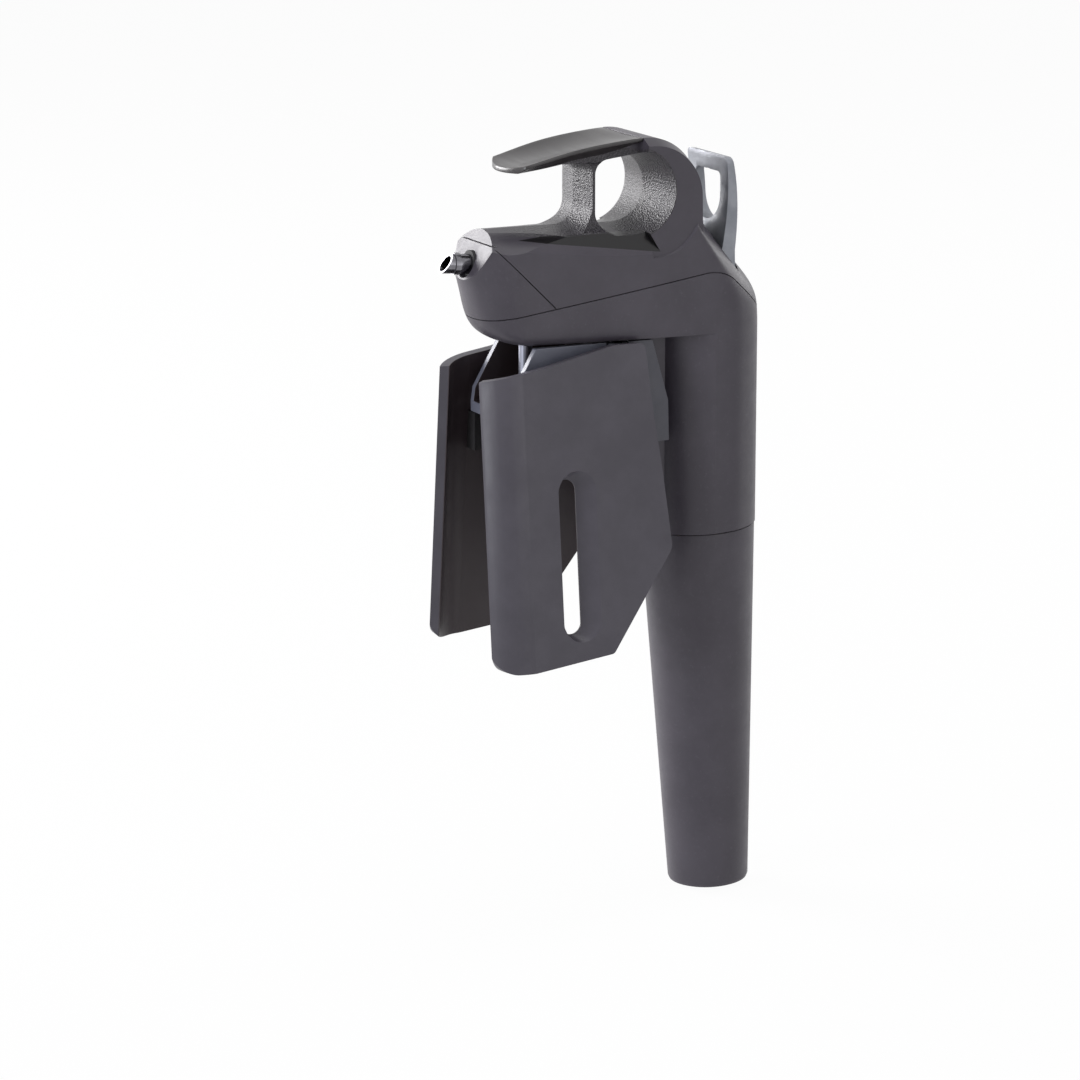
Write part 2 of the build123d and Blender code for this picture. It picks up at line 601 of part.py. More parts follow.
def guide_housing():
    """Open-fronted housing over the bottle's mouth that guides the needle."""
    side = [(-2.5, HOUSING_TOP), (-10.0, 6.5), (-10.5, 3.0), (-10.5, 0), (17.8, 0), (17.8, HOUSING_TOP)]
    walls = side_prism(side, WALL_X[1], WALL_X[0])
    floor = block((-WALL_X[1], WALL_X[1]), (-10.5, 17.8), (0, 3.0)) + rod(4.6, (0, 6.0))
    back = block((-WEB_HALF + 0.2, WEB_HALF - 0.2), (16.2, WEB_Y[0]), (0, HOUSING_TOP))
    bridge = block((-WALL_X[1], WALL_X[1]), (16.2, 17.8), (0, HOUSING_TOP))
    form = walls + floor + back + bridge - rod(3.0, (-1, 10))
    for z in CARRIAGE_SCREW_Z:
        form = form - Pos(0, 15, z) * Rot(90, 0, 0) * Cylinder(SCREW_R + 0.1, 12)
        form = form - Pos(0, 15.5, z) * Rot(90, 0, 0) * Cylinder(2.9, 4)
    return form


def guide_bush():
    """Bush with a collar, pressed into the floor of the housing."""
    return rod(3.0, (0, 6.0)) + rod(4.2, (6.0, 8.4)) - rod(NEEDLE_R + RUN, (-2, 12))


def slide_rail():
    """T-shaped rail that carries the head up and down."""
    head = block((-RAIL_HALF, RAIL_HALF), RAIL_Y, (-7.7, 43.5))
    stem = block((-STEM_HALF, STEM_HALF), (WEB_Y[1], RAIL_Y[0]), (-7.7, 43.5))
    form = head + stem
    for z in CARRIAGE_SCREW_Z:
        form = form - Pos(0, 27, z) * Rot(90, 0, 0) * Cylinder(SCREW_R, 9)
    return form


def carriage_screws():
    """Two screws through the housing and the web into the rail."""
    def screw(z):
        head = Pos(0, 16.3, z) * Rot(90, 0, 0) * Cylinder(2.7, 2.4)
        return head + Pos(0, 24.0, z) * Rot(90, 0, 0) * Cylinder(SCREW_R, 15)
    return [screw(z) for z in CARRIAGE_SCREW_Z]


def clamp_pins():
    return [rod(HINGE_PIN_R, (LUG_Z[0][0], LUG_Z[-1][1]), (x, HINGE_Y)) for x in (-HINGE_X, HINGE_X)]


def clamp_springs():
    return [Pos(x, HINGE_Y, 8.8) * coil(2.1, 0.6, 0.78, 2.4) for x in (-HINGE_X, HINGE_X)]


# ---- clamps ----------------------------------------------------------------------------
def plate_frame():
    """Frame on the outer face of the right plate, level with the bottle's rim; x outward."""
    return Pos(PLATE_X, 0, 0) * Rot(0, -PLATE_LEAN, 0)


def plate_profile():
    """Cross-section of a plate: flat, with its front edge curled inward."""
    def curl(radius, share):
        angle = share * 56.4
        return (-CURL_R + radius * cos(radians(angle)), CURL_Y - radius * sin(radians(angle)))
    inner_r = CURL_R - PLATE_T
    outer = ThreePointArc((0, CURL_Y), curl(CURL_R, 0.5), curl(CURL_R, 1))
    inner = ThreePointArc(curl(inner_r, 1), curl(inner_r, 0.5), (-PLATE_T, CURL_Y))
    nose = Line(curl(CURL_R, 1), curl(inner_r, 1))
    rest = Polyline((-PLATE_T, CURL_Y), (-PLATE_T, 34), (0, 34), (0, CURL_Y))
    return make_face(Wire([*outer.edges(), *nose.edges(), *inner.edges(), *rest.edges()]))


# side outline of a plate: (Y, Z, rounding of the corner)
PLATE_OUTLINE = [(-24.0, 12.2, 0.5), (-2.5, 15.7, 20.0), (17.0, 19.9, 6.0), (26.4, 19.9, 2.0), (27.4, 6.7, 30.0),
                 (29.9, -13.6, 30.0), (31.9, -34.2, 4.0), (13.7, -60.2, 1.5), (-9.0, -62.9, 10.0),
                 (-19.0, -62.9, 6.0), (-19.4, -50.0, 1.0), (-24.0, -48.0, 1.0)]


def plate_side():
    """Side outline of a plate, as a prism along X."""
    outline = FilletPolyline(*[(y, z) for y, z, r in PLATE_OUTLINE], radius=[r for y, z, r in PLATE_OUTLINE],
                             close=True)
    return both_sides(extrude(Plane.YZ * make_face(outline), 30))


def clamp_slot():
    """Sight slot through the plate, in a wider rounded recess that slopes down to it."""
    def slot(x, y, length, width):
        return Pos(x, y, -33.9) * Rot(0, 90, 0) * SlotOverall(length, width)
    through = extrude(slot(-5, 2.5, 40.4, 5.8), 10)
    return through + loft([slot(-2.2, 2.6, 40.8, 6.0), slot(0.05, 5.1, 44.8, 10.8)], ruled=True)


def clamp_right():
    """Clamp plate with its jaw lug and the two knuckles on the hinge pin."""
    plate = (Pos(0, 0, -68) * extrude(plate_profile(), 90)) & plate_side()
    form = plate_frame() * (plate - clamp_slot())
    knuckles = [arm for low, high in KNUCKLE_Z for arm in (
        rod(KNUCKLE_R, (low, high), (HINGE_X, HINGE_Y)), block((HINGE_X, 17.5), (19.2, 22.8), (low, high)))]
    inside = plate_frame() * Pos(-PLATE_T + 0.3, 0, 0) * block((-30, 0), (-40, 60), (-80, 40))
    for arm in knuckles:
        form = form + (arm & inside)
    for low, high in KNUCKLE_Z:
        form = form - rod(HINGE_PIN_R + RUN, (low - 1, high + 1), (HINGE_X, HINGE_Y))
    return largest(form)


def pad_right():
    """Rubber jaw pad between the plate and the neck of the bottle."""
    form = block((10.5, 20), (-9, 9), (-11, -1)) - rod(NECK_R + 0.15, (-12, 0))
    return largest(form & (plate_frame() * Pos(-PLATE_T, 0, 0) * block((-30, 0), (-40, 60), (-80, 40))))


def mirrored(solid):
    return mirror(solid, Plane.YZ)


# ---- export ----------------------------------------------------------------------------
def all_parts():
    """Every node by name; a list is a set of identical pieces."""
    head, room, grooves, pad = head_form(), hollow(), seam_grooves(), palm_pad()
    parts = {"handle_shell": handle_shell(head, room, grooves, pad),
             "nose_cover": nose_cover(head, room, grooves),
             "lower_body": lower_body(head, room, grooves), "palm_pad": pad}
    for make in (spout_tube, spout_seal, wine_manifold, needle, needle_hub, hub_seal, gas_tube, regulator_body,
                 regulator_piston, regulator_spring, piercing_pin, capsule_seal, valve_seal, valve_stem,
                 valve_spring, argon_capsule, cup, cup_insert, trigger, trigger_pin, body_screws, carriage,
                 guide_housing, guide_bush, slide_rail, carriage_screws, clamp_pins, clamp_springs, clamp_right,
                 pad_right):
        parts[make.__name__] = make()
    parts["clamp_left"] = mirrored(parts["clamp_right"])
    parts["pad_left"] = mirrored(parts["pad_right"])
    return parts


if __name__ == "__main__":
    os.makedirs("parts", exist_ok=True)
    for name, solid in all_parts().items():
        export_step(Compound(children=solid) if isinstance(solid, list) else solid, f"parts/{name}.step")
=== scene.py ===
import bpy
from math import cos, radians, sin, tan
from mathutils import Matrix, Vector


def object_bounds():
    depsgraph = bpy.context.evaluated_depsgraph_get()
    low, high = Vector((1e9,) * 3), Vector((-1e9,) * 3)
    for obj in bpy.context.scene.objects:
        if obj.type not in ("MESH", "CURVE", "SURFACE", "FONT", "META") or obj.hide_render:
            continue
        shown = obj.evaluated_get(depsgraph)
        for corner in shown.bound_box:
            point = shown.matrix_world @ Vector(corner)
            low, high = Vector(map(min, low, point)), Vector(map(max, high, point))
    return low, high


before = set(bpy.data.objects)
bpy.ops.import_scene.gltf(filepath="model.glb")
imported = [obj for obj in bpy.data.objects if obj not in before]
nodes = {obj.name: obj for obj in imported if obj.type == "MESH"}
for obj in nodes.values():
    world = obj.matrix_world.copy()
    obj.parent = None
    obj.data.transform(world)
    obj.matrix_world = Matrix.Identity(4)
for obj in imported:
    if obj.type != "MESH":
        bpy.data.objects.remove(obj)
cad_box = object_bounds()

# ---- driving dimensions, metres --------------------------------------------------------
MM = 0.001
# the finger hole and the roof of the nose, (Y, Z) in the plane of symmetry
HOLE_CENTRE = (24.7 * MM, 58.5 * MM)
HOLE_R = 9.3 * MM
HOLE_MARGIN = 0.25 * MM
CREST_Z = 49.7 * MM
CREST_MARGIN = 0.35 * MM
DRAFT_SLOPE = tan(radians(8.5))    # the hole widens and the roof falls with the distance from X = 0
# the grain starts at the first Y and is full at the second
GRAIN_START_Y, GRAIN_FULL_Y = -13.0 * MM, 5.0 * MM
# the facet's dark colour is a painted reflection, not a colour of the plastic
# long glossy facet under the finger hole: where its lower edge starts (Y, Z), the slope by which that
# edge falls, its top, its slanting back end (Y at the top, slope) and its nearest distance from X = 0
FACET_FOOT = (-13.8 * MM, 48.5 * MM)
FACET_FALL = 0.124
FACET_TOP_Z = 48.2 * MM
FACET_BACK_Y, FACET_BACK_LEAN = 28.4 * MM, 0.61
FACET_HALF = 8.5 * MM
# clamp plates: outer face, its outward lean, and the curl of the front edge
PLATE_X = 18.6 * MM
PLATE_LEAN = radians(5.9)
PLATE_T = 2.6 * MM
PLATE_MARGIN = 0.2 * MM
CURL_R = 12.0 * MM
CURL_Y = -9.0 * MM
# inside of the guide housing
HOUSING_HALF = 9.45 * MM
HOUSING_FLOOR_Z = 2.9 * MM
# small rounds on the sharp edges of the mouldings
SOFT_EDGES = {"clamp_right": 1.0 * MM, "clamp_left": 1.0 * MM, "guide_housing": 0.3 * MM,
              "carriage": 0.3 * MM, "trigger": 0.35 * MM, "palm_pad": 0.25 * MM, "cup": 0.3 * MM}
SOFT_ANGLE = radians(32.0)
SOFT_SEGMENTS = 3
WELD_DISTANCE = 0.001 * MM

# ---- texture scales, cells per metre ---------------------------------------------------
CLOUD_SCALE = 48.0
PLATE_CLOUD_SCALE = 52.0
HANDLING_SCALE = 170.0
SPARK_SCALE = 5200.0
SPARK_DEPTH = 0.03 * MM
PEBBLE_SCALE = 2300.0
RIPPLE_SCALE = 3000.0
LEATHER_DEPTH = 0.22 * MM
SPARK_IN_LEATHER = 0.05        # height of the spark grain as a share of the leather's

# ---- the photograph's camera and the studio, metres and watts --------------------------
AZIMUTH, ELEVATION = radians(64.0), radians(13.5)
DISTANCE = 1.1
AIM = Vector((0.0, 4.2 * MM, -33.88 * MM))
FOCAL_PIXELS = 4191.0          # on the photograph's 1080 pixel frame
PHOTO_PIXELS = 1080.0
SENSOR_WIDTH = 36.0            # millimetres
CLIP_NEAR, CLIP_FAR = 0.05, 20.0
FLOOR_SIZE = 8.0
FLOOR_GAP = 1.0 * MM
FLOOR_GLOW = 0.96              # the rest of the floor's white is lit, and so keeps the shadow
FLOOR_WHITE = (0.75, 0.75, 0.75, 1)
WORLD_SEEN = (1, 1, 1, 1)
WORLD_LIGHT = (0.24, 0.24, 0.25, 1)


# ---- colours, as on the screen, 0 to 255 -----------------------------------------------
def srgb(r, g, b):
    """The linear colour of one written as on the screen."""
    def linear(c):
        c = c / 255
        return c / 12.92 if c <= 0.04045 else ((c + 0.055) / 1.055) ** 2.4
    return (linear(r), linear(g), linear(b), 1.0)


BODY, BODY_WORN = srgb(58, 54, 62), srgb(67, 63, 71)
FLECKS = srgb(96, 93, 101)
PEBBLE_MIDDLE, PEBBLE_RIM = srgb(70, 66, 72), srgb(38, 35, 40)
# painted dark reflection on the glossy facet beside the finger hole
FACET_PAINTED_REFLECTION = srgb(14, 12, 15)
# the pad's second colour paints faint highlight streaks across it
PALM, PALM_HIGHLIGHT_STREAK = srgb(30, 26, 28), srgb(39, 35, 37)
PLATE, PLATE_WORN = srgb(62, 59, 67), srgb(71, 68, 76)
# painted shade and painted dark reflection on the plates' faces towards the bottle
PLATE_INSIDE_SHADE = srgb(50, 42, 45)
HOUSING, HOUSING_WORN = srgb(92, 94, 106), srgb(104, 106, 118)
# painted shade inside the housing's channel
HOUSING_CHANNEL_SHADE = srgb(40, 32, 33)
LEVER, LEVER_WORN = srgb(122, 125, 132), srgb(144, 146, 153)
CARRIAGE, CARRIAGE_WORN = srgb(70, 70, 78), srgb(80, 80, 88)
BEARING, BEARING_WORN = srgb(119, 121, 133), srgb(128, 130, 141)
RUBBER, RUBBER_DUST = srgb(24, 23, 25), srgb(40, 39, 41)
# metals are darkened by their finish, so they stay in screen values until then
STEEL = (150, 151, 156)
SPOUT_STEEL = (122, 121, 126)
SCREW_STEEL = (110, 110, 114)
SLEEVE_METAL = (150, 152, 165)
RAIL_METAL = (150, 150, 155)
BRASS = (196, 164, 98)


# ---- node helpers ----------------------------------------------------------------------
def put(tree, socket, value):
    """Links a socket to another one, or sets its value."""
    if isinstance(value, bpy.types.NodeSocket):
        tree.links.new(value, socket)
    else:
        socket.default_value = value


def math_node(tree, operation, a, b=0.0, clamp=False):
    node = tree.nodes.new("ShaderNodeMath")
    node.operation = operation
    node.use_clamp = clamp
    put(tree, node.inputs[0], a)
    put(tree, node.inputs[1], b)
    return node.outputs[0]


def mix_node(tree, factor, a, b):
    """Colour a where factor is 0 and colour b where it is 1."""
    node = tree.nodes.new("ShaderNodeMix")
    node.data_type = "RGBA"
    put(tree, node.inputs["Factor"], factor)
    put(tree, node.inputs[6], a)
    put(tree, node.inputs[7], b)
    return node.outputs[2]


class Shader:
    """A node material with short calls for the few nodes used here."""

    def __init__(self, name, roughness=0.5, metallic=0.0, coat=0.0, specular=0.5):
        self.material = bpy.data.materials.new(name)
        self.material.use_nodes = True
        self.tree = self.material.node_tree
        self.shader = self.tree.nodes["Principled BSDF"]
        self.shader.inputs["Roughness"].default_value = roughness
        self.shader.inputs["Metallic"].default_value = metallic
        self.shader.inputs["Coat Weight"].default_value = coat
        self.shader.inputs["Specular IOR Level"].default_value = specular
        self.place = self.tree.nodes.new("ShaderNodeTexCoord").outputs["Object"]

    def math(self, operation, a, b=0.0, clamp=False):
        return math_node(self.tree, operation, a, b, clamp)

    def mix(self, factor, a, b):
        return mix_node(self.tree, factor, a, b)

    def blend(self, factor, a, b):
        """Number a where factor is 0 and number b where it is 1."""
        node = self.tree.nodes.new("ShaderNodeMix")
        node.data_type = "FLOAT"
        put(self.tree, node.inputs["Factor"], factor)
        put(self.tree, node.inputs[2], a)
        put(self.tree, node.inputs[3], b)
        return node.outputs[0]

    def ramp(self, value, low, high):
        """0 below low, 1 above high."""
        node = self.tree.nodes.new("ShaderNodeMapRange")
        node.interpolation_type = "SMOOTHSTEP"
        put(self.tree, node.inputs["Value"], value)
        node.inputs["From Min"].default_value = low
        node.inputs["From Max"].default_value = high
        return node.outputs["Result"]

    def noise(self, scale, detail, rough, place=None):
        node = self.tree.nodes.new("ShaderNodeTexNoise")
        put(self.tree, node.inputs["Vector"], place or self.place)
        node.inputs["Scale"].default_value = scale
        node.inputs["Detail"].default_value = detail
        node.inputs["Roughness"].default_value = rough
        return node.outputs["Fac"]

    def cells(self, scale):
        """Distance from the middle of the nearest cell."""
        node = self.tree.nodes.new("ShaderNodeTexVoronoi")
        put(self.tree, node.inputs["Vector"], self.place)
        node.inputs["Scale"].default_value = scale
        return node.outputs["Distance"]

    def stretched(self, x, y, z):
        """The place scaled along each axis, for streaks."""
        node = self.tree.nodes.new("ShaderNodeMapping")
        put(self.tree, node.inputs["Vector"], self.place)
        node.inputs["Scale"].default_value = (x, y, z)
        return node.outputs[0]

    def xyz(self):
        node = self.tree.nodes.new("ShaderNodeSeparateXYZ")
        put(self.tree, node.inputs[0], self.place)
        return node.outputs

    def colour(self, value):
        put(self.tree, self.shader.inputs["Base Color"], value)

    def roughness(self, value):
        put(self.tree, self.shader.inputs["Roughness"], value)

    def bump(self, height, distance, strength=1.0):
        node = self.tree.nodes.new("ShaderNodeBump")
        node.inputs["Distance"].default_value = distance
        put(self.tree, node.inputs["Strength"], strength)
        put(self.tree, node.inputs["Height"], height)
        put(self.tree, self.shader.inputs["Normal"], node.outputs["Normal"])

    # textures that several plastics share
    def clouding(self, scale=CLOUD_SCALE):
        """Slow cloudy change of tone."""
        return self.ramp(self.noise(scale, detail=5.0, rough=0.62), 0.35, 0.72)

    def handling(self):
        """Marks of handling, which show in the gloss."""
        return self.ramp(self.noise(HANDLING_SCALE, detail=5.0, rough=0.7), 0.3, 0.75)

    def spark(self):
        """Fine grain that a spark-eroded mould leaves."""
        return self.noise(SPARK_SCALE, detail=2.0, rough=0.6)


# ---- masks: 1 inside a region of a piece, 0 outside ------------------------------------
def hole_mask(s, widening):
    """The wall of the finger hole, which has widened by this much."""
    _, y, z = s.xyz()
    dy = s.math("SUBTRACT", y, HOLE_CENTRE[0])
    dz = s.math("SUBTRACT", z, HOLE_CENTRE[1])
    away = s.math("SQRT", s.math("ADD", s.math("MULTIPLY", dy, dy), s.math("MULTIPLY", dz, dz)))
    return s.math("LESS_THAN", s.math("SUBTRACT", away, widening), HOLE_R + HOLE_MARGIN)


def handle_mask(s, widening):
    """The finger hole, and all above the roof of the nose that is before the hole's middle."""
    _, y, z = s.xyz()
    over_roof = s.math("GREATER_THAN", s.math("ADD", z, widening), CREST_Z - CREST_MARGIN)
    before_hole = s.math("LESS_THAN", y, HOLE_CENTRE[0])
    return s.math("MAXIMUM", hole_mask(s, widening), s.math("MULTIPLY", over_roof, before_hole))


def facet_mask(s, side):
    """The glossy facet between the finger hole and the side of the head, where a dark reflection is
    painted.
    """
    _, y, z = s.xyz()
    fall = s.math("MULTIPLY", s.math("SUBTRACT", y, FACET_FOOT[0]), FACET_FALL)
    above = s.math("GREATER_THAN", s.math("ADD", z, fall), FACET_FOOT[1])
    below = s.math("LESS_THAN", z, FACET_TOP_Z)
    lean = s.math("MULTIPLY", s.math("SUBTRACT", FACET_TOP_Z, z), FACET_BACK_LEAN)
    before = s.math("LESS_THAN", s.math("SUBTRACT", y, lean), FACET_BACK_Y)
    outside = s.math("GREATER_THAN", side, FACET_HALF)
    return s.math("MULTIPLY", s.math("MULTIPLY", above, below), s.math("MULTIPLY", before, outside))


def plate_inside_shade_mask(s):
    """The face of a clamp plate that looks at the bottle, with the inside of its curl, where shade is
    painted.
    """
    x, y, z = s.xyz()
    from_face = s.math("MULTIPLY", s.math("SUBTRACT", s.math("ABSOLUTE", x), PLATE_X), cos(PLATE_LEAN))
    depth = s.math("ADD", from_face, s.math("MULTIPLY", z, sin(PLATE_LEAN)))
    from_axis = s.math("ADD", depth, CURL_R)
    ahead = s.math("MINIMUM", s.math("SUBTRACT", y, CURL_Y), 0.0)
    squares = s.math("ADD", s.math("MULTIPLY", from_axis, from_axis), s.math("MULTIPLY", ahead, ahead))
    return s.math("LESS_THAN", s.math("SQRT", squares), CURL_R - PLATE_T + PLATE_MARGIN)


def channel_shade_mask(s):
    """The inside of the guide housing, where shade is painted."""
    x, _, z = s.xyz()
    narrow = s.math("LESS_THAN", s.math("ABSOLUTE", x), HOUSING_HALF)
    return s.math("MULTIPLY", narrow, s.math("GREATER_THAN", z, HOUSING_FLOOR_Z))


# ---- materials -------------------------------------------------------------------------
def moulded(name, base=BODY, worn=BODY_WORN, roughness=0.44):
    """Satin plastic with faint clouding, handling marks and fine spark grain."""
    s = Shader(name, specular=0.4)
    flecks = s.ramp(s.noise(900.0, detail=4.0, rough=0.7), 0.55, 0.8)
    clouded = s.mix(s.clouding(), base, worn)
    s.colour(s.mix(s.math("MULTIPLY", flecks, 0.25), clouded, FLECKS))
    s.roughness(s.blend(s.handling(), roughness - 0.05, roughness + 0.07))
    s.bump(s.spark(), SPARK_DEPTH, 0.5)
    return s.material


def handle_plastic():
    """Satin outside, leather-like grain inside the handle, glossy facet beside the hole with a painted
    dark reflection.
    """
    s = Shader("handle_plastic", specular=0.4)
    x, y, _ = s.xyz()
    side = s.math("ABSOLUTE", x)
    # the facet's mask makes it glossy and paints a dark reflection on it
    facet_gloss_and_painted_reflection = facet_mask(s, side)
    matt = s.math("SUBTRACT", handle_mask(s, s.math("MULTIPLY", side, DRAFT_SLOPE)), facet_gloss_and_painted_reflection, clamp=True)
    # the grain fades out along the roof towards the spout
    grained = s.math("MULTIPLY", matt, s.ramp(y, GRAIN_START_Y, GRAIN_FULL_Y))
    pebbles = s.cells(PEBBLE_SCALE)
    ripple = s.noise(RIPPLE_SCALE, detail=3.0, rough=0.6)
    leather = s.math("ADD", s.math("MULTIPLY", pebbles, 0.7), s.math("MULTIPLY", ripple, 0.6))
    spark = s.math("MULTIPLY", s.spark(), s.blend(facet_gloss_and_painted_reflection, SPARK_IN_LEATHER, 0.0))
    cloud = s.clouding()
    plain = s.mix(cloud, BODY, BODY_WORN)
    leather_colour = s.mix(s.ramp(pebbles, 0.2, 0.6), PEBBLE_MIDDLE, PEBBLE_RIM)
    s.colour(s.mix(facet_gloss_and_painted_reflection, s.mix(grained, plain, leather_colour), FACET_PAINTED_REFLECTION))
    satin = s.blend(cloud, 0.40, 0.48)
    s.roughness(s.blend(facet_gloss_and_painted_reflection, s.blend(grained, satin, 0.3), 0.3))
    s.bump(s.math("ADD", s.math("MULTIPLY", leather, grained), spark), LEATHER_DEPTH)
    return s.material


def palm_plastic():
    """Smooth dark pad with a soft sheen, and faint streaks across it that vary its roughness and are
    painted lighter as highlights.
    """
    s = Shader("palm_plastic", coat=0.1)
    streaks = s.noise(330.0, detail=3.0, rough=0.55, place=s.stretched(0.10, 1.0, 0.3))
    # painted highlight streaks in the colour
    s.colour(s.mix(s.ramp(streaks, 0.3, 0.75), PALM, PALM_HIGHLIGHT_STREAK))
    s.roughness(s.blend(s.ramp(streaks, 0.3, 0.8), 0.29, 0.38))
    s.bump(s.noise(4200.0, detail=2.0, rough=0.6), 0.02 * MM, 0.5)
    return s.material


def plate_plastic():
    """Satin plate, with painted shade and a painted dark reflection on the face towards the bottle."""
    s = Shader("plate_plastic", specular=0.4)
    outside = s.mix(s.clouding(PLATE_CLOUD_SCALE), PLATE, PLATE_WORN)
    # painted shade on the face towards the bottle
    s.colour(s.mix(plate_inside_shade_mask(s), outside, PLATE_INSIDE_SHADE))
    s.roughness(s.blend(s.handling(), 0.38, 0.5))
    s.bump(s.spark(), SPARK_DEPTH, 0.5)
    return s.material


def housing_plastic():
    """Grey-blue guide housing, with painted shade in its channel."""
    s = Shader("housing_plastic", specular=0.45)
    cloud = s.ramp(s.noise(90.0, detail=4.0, rough=0.6), 0.3, 0.75)
    outside = s.mix(cloud, HOUSING, HOUSING_WORN)
    # painted shade in the channel
    s.colour(s.mix(channel_shade_mask(s), outside, HOUSING_CHANNEL_SHADE))
    s.roughness(s.blend(cloud, 0.34, 0.42))
    s.bump(s.noise(4600.0, detail=2.0, rough=0.6), SPARK_DEPTH, 0.5)
    return s.material


def lever_metal():
    """Light grey satin lever."""
    s = Shader("lever_metal", metallic=0.35)
    cloud = s.noise(140.0, detail=4.0, rough=0.6)
    rubbed = s.noise(500.0, detail=4.0, rough=0.7)
    s.colour(s.mix(s.ramp(cloud, 0.3, 0.75), LEVER, LEVER_WORN))
    s.roughness(s.blend(s.ramp(rubbed, 0.3, 0.7), 0.33, 0.46))
    s.bump(s.noise(3800.0, detail=2.0, rough=0.6), SPARK_DEPTH, 0.4)
    return s.material


def darker(colour, share):
    return srgb(*[c * share for c in colour])


def polished(name, colour=STEEL, roughness=0.16):
    """Bright metal with a faint haze."""
    s = Shader(name, metallic=1.0)
    haze = s.ramp(s.noise(700.0, detail=5.0, rough=0.7), 0.3, 0.8)
    s.colour(s.mix(haze, srgb(*colour), darker(colour, 0.88)))
    s.roughness(s.blend(haze, roughness, roughness + 0.12))
    return s.material


def brushed(name, colour, roughness=0.36):
    """Metal with fine lines along Z."""
    s = Shader(name, metallic=1.0)
    lines = s.noise(3500.0, detail=3.0, rough=0.7, place=s.stretched(1.0, 1.0, 0.03))
    strength = s.ramp(lines, 0.3, 0.7)
    s.colour(s.mix(strength, srgb(*colour), darker(colour, 0.8)))
    s.roughness(s.blend(strength, roughness - 0.06, roughness + 0.1))
    s.bump(lines, SPARK_DEPTH, 0.5)
    return s.material


def rubber():
    """Dull black rubber with some dust."""
    s = Shader("rubber", roughness=0.75)
    dust = s.ramp(s.noise(300.0, detail=5.0, rough=0.7), 0.45, 0.8)
    s.colour(s.mix(dust, RUBBER, RUBBER_DUST))
    s.bump(s.noise(2600.0, detail=3.0, rough=0.6), 0.05 * MM, 0.6)
    return s.material


def dress(material, *names):
    """Gives CAD nodes a material in place of the plain one they came with."""
    for name in names:
        mesh = nodes[name].data
        mesh.materials.clear()
        mesh.materials.append(material)


def dress_everything():
    dress(handle_plastic(), "handle_shell")
    dress(moulded("body_plastic"), "nose_cover", "lower_body", "cup")
    dress(plate_plastic(), "clamp_right", "clamp_left")
    dress(palm_plastic(), "palm_pad")
    dress(lever_metal(), "trigger")
    dress(housing_plastic(), "guide_housing")
    dress(moulded("carriage_plastic", CARRIAGE, CARRIAGE_WORN, 0.4), "carriage")
    dress(moulded("bearing_plastic", BEARING, BEARING_WORN, 0.4), "guide_bush", "wine_manifold")
    dress(polished("spout_steel", SPOUT_STEEL, 0.12), "spout_tube")
    dress(polished("needle_steel"), "needle", "trigger_pin", "clamp_pins", "valve_stem", "piercing_pin")
    dress(brushed("sleeve_metal", SLEEVE_METAL), "needle_hub")
    dress(brushed("rail_metal", RAIL_METAL), "slide_rail", "gas_tube", "argon_capsule")
    dress(polished("screw_steel", SCREW_STEEL, 0.3), "body_screws", "carriage_screws", "clamp_springs",
          "regulator_spring", "valve_spring")
    dress(brushed("brass", BRASS, 0.3), "regulator_body", "regulator_piston", "cup_insert")
    dress(rubber(), "spout_seal", "hub_seal", "capsule_seal", "valve_seal", "pad_right", "pad_left")


def soften(name, width):
    """Small round on a moulding's sharp edges."""
    obj = nodes[name]
    weld = obj.modifiers.new("weld", "WELD")
    weld.merge_threshold = WELD_DISTANCE
    bevel = obj.modifiers.new("soft_edges", "BEVEL")
    bevel.width = width
    bevel.segments = SOFT_SEGMENTS
    bevel.limit_method = "ANGLE"
    bevel.angle_limit = SOFT_ANGLE
    bevel.harden_normals = True


# ---- stage, light and camera -----------------------------------------------------------
def background_rays(tree):
    """1 for rays that come from the camera, a reflection or through glass."""
    path = tree.nodes.new("ShaderNodeLightPath")
    seen = path.outputs["Is Camera Ray"]
    for name in ("Is Glossy Ray", "Is Transmission Ray"):
        seen = math_node(tree, "MAXIMUM", seen, path.outputs[name])
    return seen


def floor_paint():
    """White where it is seen or mirrored, with the object's shadow kept by a matte layer."""
    material = bpy.data.materials.new("floor_white")
    material.use_nodes = True
    tree = material.node_tree
    tree.nodes.clear()
    matte = tree.nodes.new("ShaderNodeBsdfDiffuse")
    matte.inputs["Color"].default_value = FLOOR_WHITE
    glow = tree.nodes.new("ShaderNodeEmission")
    mix = tree.nodes.new("ShaderNodeMixShader")
    put(tree, mix.inputs[0], math_node(tree, "MULTIPLY", background_rays(tree), FLOOR_GLOW))
    put(tree, mix.inputs[1], matte.outputs[0])
    put(tree, mix.inputs[2], glow.outputs[0])
    out = tree.nodes.new("ShaderNodeOutputMaterial")
    put(tree, out.inputs["Surface"], mix.outputs[0])
    return material


def make_floor():
    bpy.ops.mesh.primitive_plane_add(size=FLOOR_SIZE, location=(0, 0, cad_box[0].z - FLOOR_GAP))
    floor = bpy.context.object
    floor.name = "floor"
    floor.data.materials.append(floor_paint())


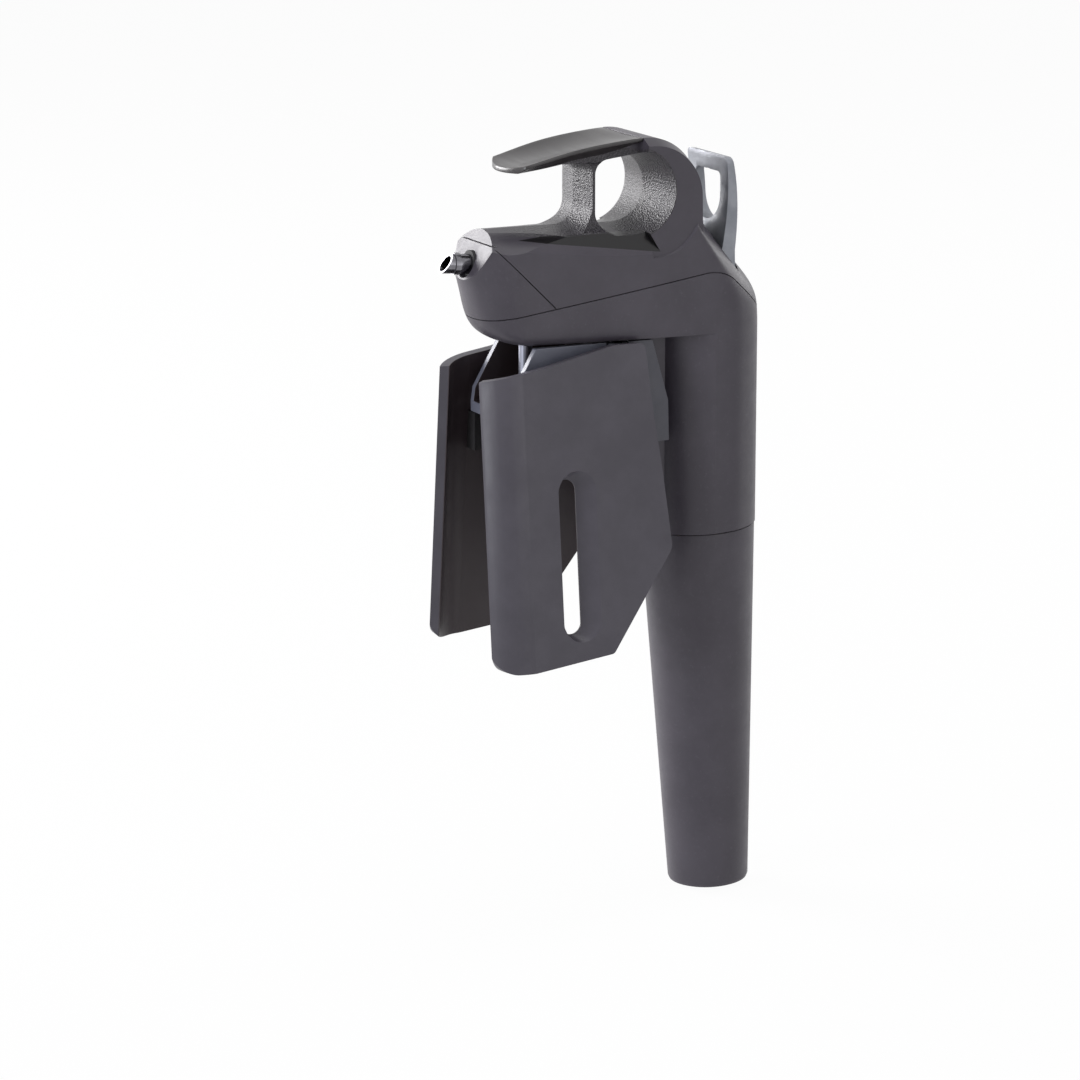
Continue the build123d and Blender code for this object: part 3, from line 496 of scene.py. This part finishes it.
def make_world():
    """White where it is seen, and a soft grey light on the object."""
    world = bpy.data.worlds.new("studio")
    world.use_nodes = True
    tree = world.node_tree
    paint = mix_node(tree, background_rays(tree), WORLD_LIGHT, WORLD_SEEN)
    put(tree, tree.nodes["Background"].inputs["Color"], paint)
    bpy.context.scene.world = world


def turn_towards(obj, direction):
    """Points a lamp or a camera along a direction."""
    obj.rotation_mode = "QUATERNION"
    obj.rotation_quaternion = Vector(direction).to_track_quat("-Z", "Y")


def area_light(name, place, aim, size, power, colour=(1, 1, 1)):
    data = bpy.data.lights.new(name, "AREA")
    data.shape = "RECTANGLE"
    data.size, data.size_y = size
    data.energy = power
    data.color = colour
    lamp = bpy.data.objects.new(name, data)
    lamp.location = place
    turn_towards(lamp, Vector(aim) - Vector(place))
    bpy.context.collection.objects.link(lamp)


def make_lights():
    area_light("key", place=(-1.2, -0.8, 0.3), aim=(0, -0.01, 0.02), size=(1.0, 1.0), power=34.0,
               colour=(1.0, 0.99, 1.0))
    area_light("front", place=(0.3, -1.45, 0.35), aim=(0, 0, -0.02), size=(0.5, 0.9), power=12.0,
               colour=(0.92, 0.95, 1.0))
    area_light("top", place=(0.15, 0.1, 1.3), aim=(0, 0, 0.03), size=(0.8, 0.8), power=6.0)
    area_light("side", place=(1.35, 0.3, 0.3), aim=(0, 0, -0.02), size=(0.7, 1.2), power=3.8)
    area_light("rim", place=(-0.3, 1.3, 0.5), aim=(0, 0.03, 0), size=(0.6, 0.9), power=6.5)


def make_camera():
    back = Vector((sin(AZIMUTH) * cos(ELEVATION), -cos(AZIMUTH) * cos(ELEVATION), sin(ELEVATION)))
    data = bpy.data.cameras.new("camera")
    data.sensor_width = SENSOR_WIDTH
    data.lens = SENSOR_WIDTH * FOCAL_PIXELS / PHOTO_PIXELS
    data.clip_start, data.clip_end = CLIP_NEAR, CLIP_FAR
    camera = bpy.data.objects.new("camera", data)
    camera.location = AIM + back * DISTANCE
    turn_towards(camera, -back)
    bpy.context.collection.objects.link(camera)
    bpy.context.scene.camera = camera


dress_everything()
for name, width in SOFT_EDGES.items():
    soften(name, width)
make_floor()
make_world()
make_lights()
make_camera()
bpy.context.scene.view_settings.view_transform = "Standard"
